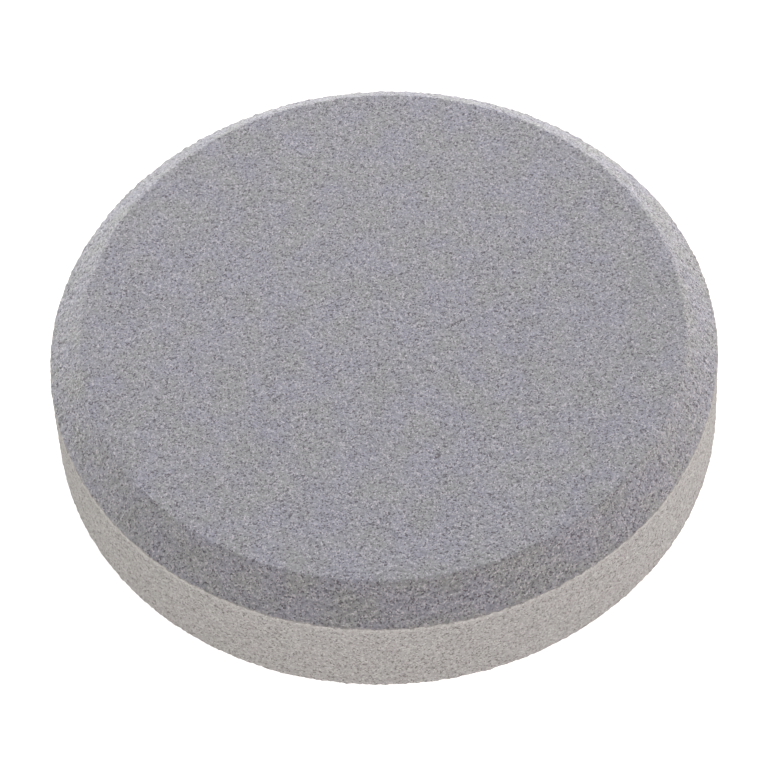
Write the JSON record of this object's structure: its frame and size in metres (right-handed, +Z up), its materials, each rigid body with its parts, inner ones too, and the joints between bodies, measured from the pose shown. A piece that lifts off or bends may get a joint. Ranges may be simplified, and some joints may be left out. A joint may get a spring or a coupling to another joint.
{
  "type": "disc air stone",
  "caption": "Round flat air stone with a bevelled porous top on a denser base, and a barbed hose inlet set in a pocket and groove underneath.",
  "frame": {"origin": "centre of the underside, which is the face that the disc rests on", "axes": "+Z up, along the disc's axis, through the flat top; +Y towards the mouth of the hose groove in the wall; +X to the right as seen from -Y"},
  "size_m": [0.1006, 0.1005, 0.02],
  "materials": {
    "porous_ceramic": "matt, open grain, blue-grey with dark and pale grains",
    "dense_ceramic": "matt, fine sandy grain, warm beige-grey",
    "bond_epoxy": "matt pale filled epoxy",
    "inlet_nylon": "satin moulded black nylon",
    "gasket_rubber": "matt soft rubber",
    "washer_nylon": "satin natural nylon",
    "sealant_epoxy": "glossy cured epoxy, pale amber"
  },
  "bodies": {
    "root": {"diffuser_cap": "porous_ceramic", "base_shell": "dense_ceramic", "bond_ring": "bond_epoxy", "inlet_elbow": "inlet_nylon", "inlet_gasket": "gasket_rubber", "inlet_washer": "washer_nylon", "inlet_nut": "inlet_nylon", "inlet_sealant": "sealant_epoxy"}
  },
  "joints": []
}
